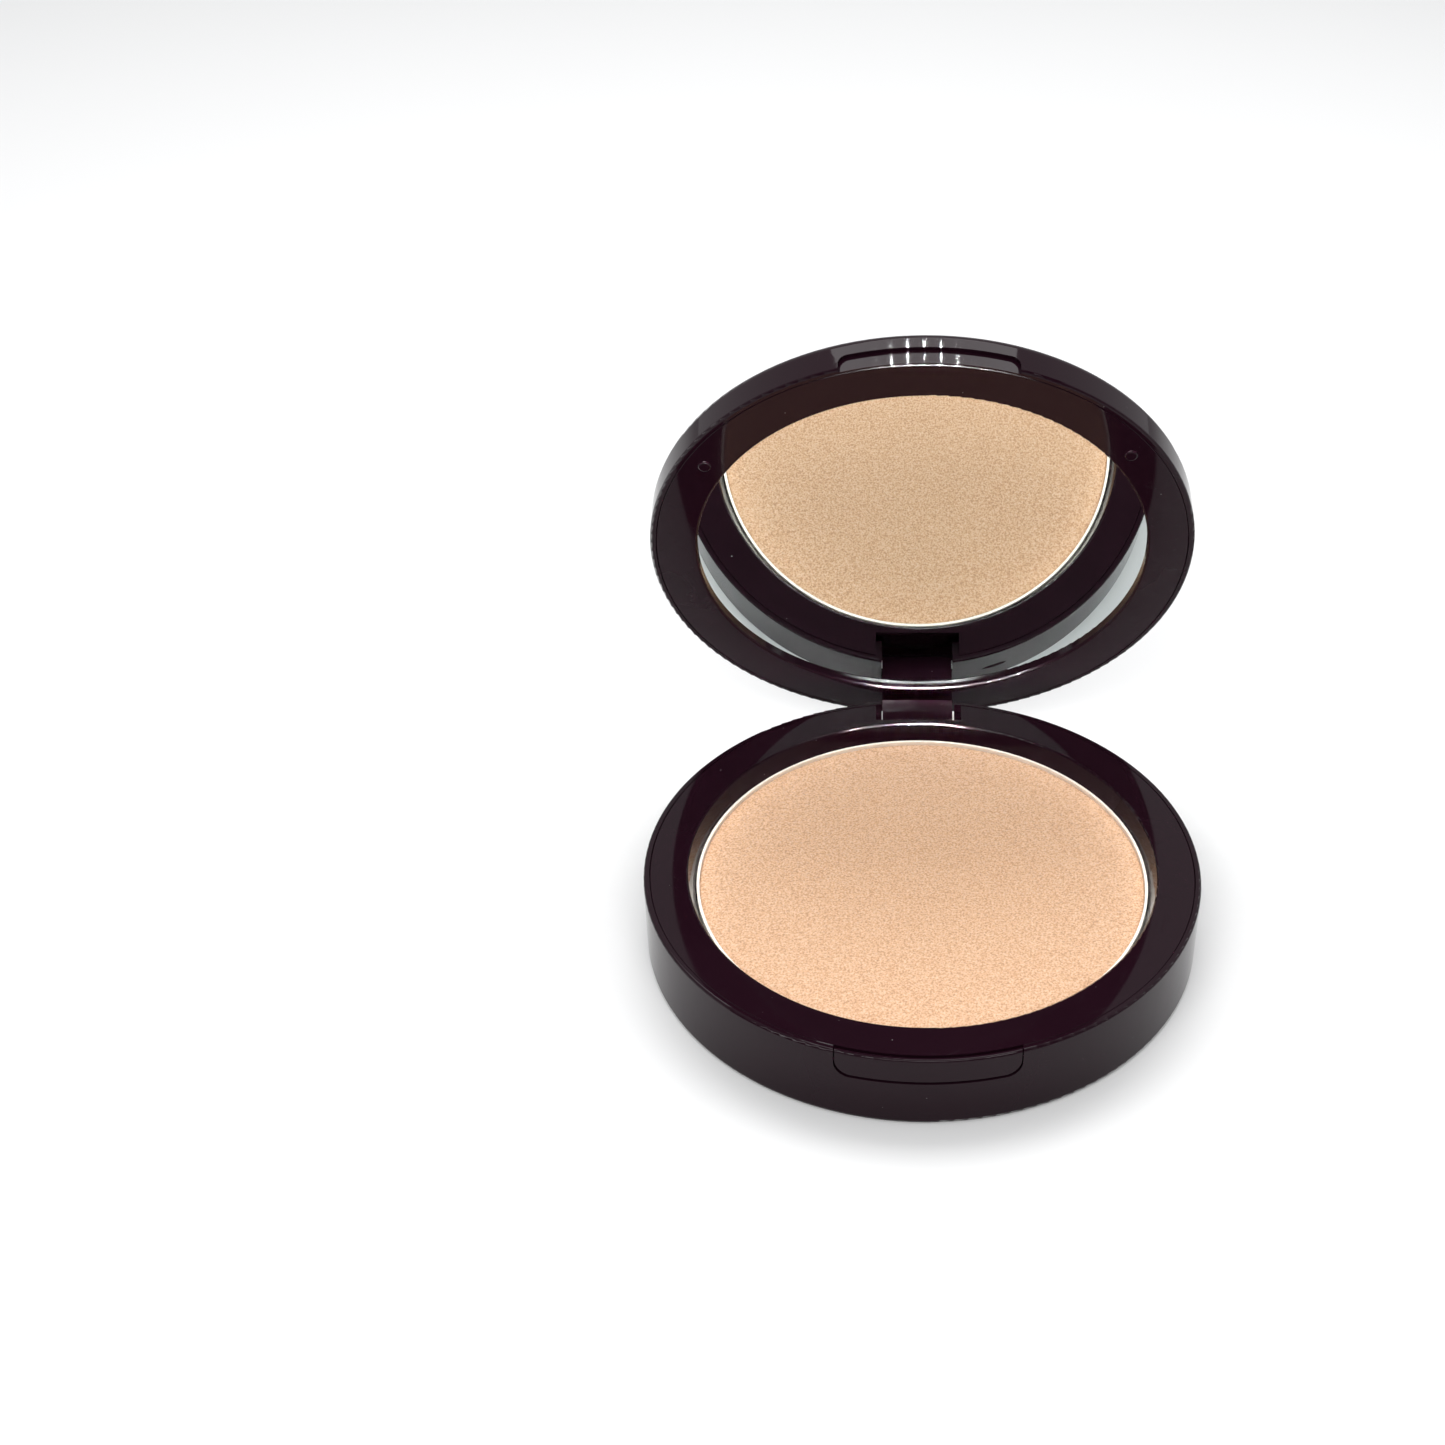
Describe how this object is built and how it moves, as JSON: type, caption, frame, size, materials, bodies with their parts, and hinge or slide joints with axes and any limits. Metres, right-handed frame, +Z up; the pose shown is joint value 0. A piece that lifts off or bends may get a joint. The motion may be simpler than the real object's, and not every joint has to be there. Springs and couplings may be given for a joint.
{
  "type": "powder compact",
  "caption": "Round flip-open powder compact in dark gloss plastic with a mirrored lid, a push latch and a pan of pressed powder.",
  "frame": {"origin": "centre of the base's flat underside", "axes": "+Z up, -Y towards the front with the latch button, +Y towards the hinge, +X to the right"},
  "size_m": [0.0724, 0.0813, 0.075],
  "materials": {
    "plum_plastic": "high gloss, very dark plum",
    "pan_aluminium": "bright rolled sheet",
    "pressed_powder": "satin pressed powder, peach beige with a fine shimmer",
    "glue": "dull",
    "pin_steel": "drawn wire",
    "spring_steel": "rolled strip",
    "mirror": "silvered glass",
    "foam": "white foam tape"
  },
  "bodies": {
    "base": {"base_shell": "plum_plastic", "inner_tray": "plum_plastic", "powder_pan": "pan_aluminium", "powder_cake": "pressed_powder", "pan_glue": "glue", "hinge_pin": "pin_steel", "button_spring": "spring_steel"},
    "lid": {"lid_shell": "plum_plastic", "mirror_frame": "plum_plastic", "mirror_glass": "mirror", "mirror_pad": "foam"},
    "button": {"latch_button": "plum_plastic"}
  },
  "joints": [
    {"name": "lid_hinge", "type": "hinge", "parent": "base", "child": "lid", "pos_m": [0, 0.0343, 0.0049], "axis": [-1, 0, 0], "range_deg": [-71.9, 33.1]},
    {"name": "latch_push", "type": "slide", "parent": "base", "child": "button", "axis": [0, 1, 0], "range_m": [0, 0.00025], "stiffness_N_per_m": 2000, "springref_m": -0.0005, "deforming": ["button_spring"]}
  ]
}
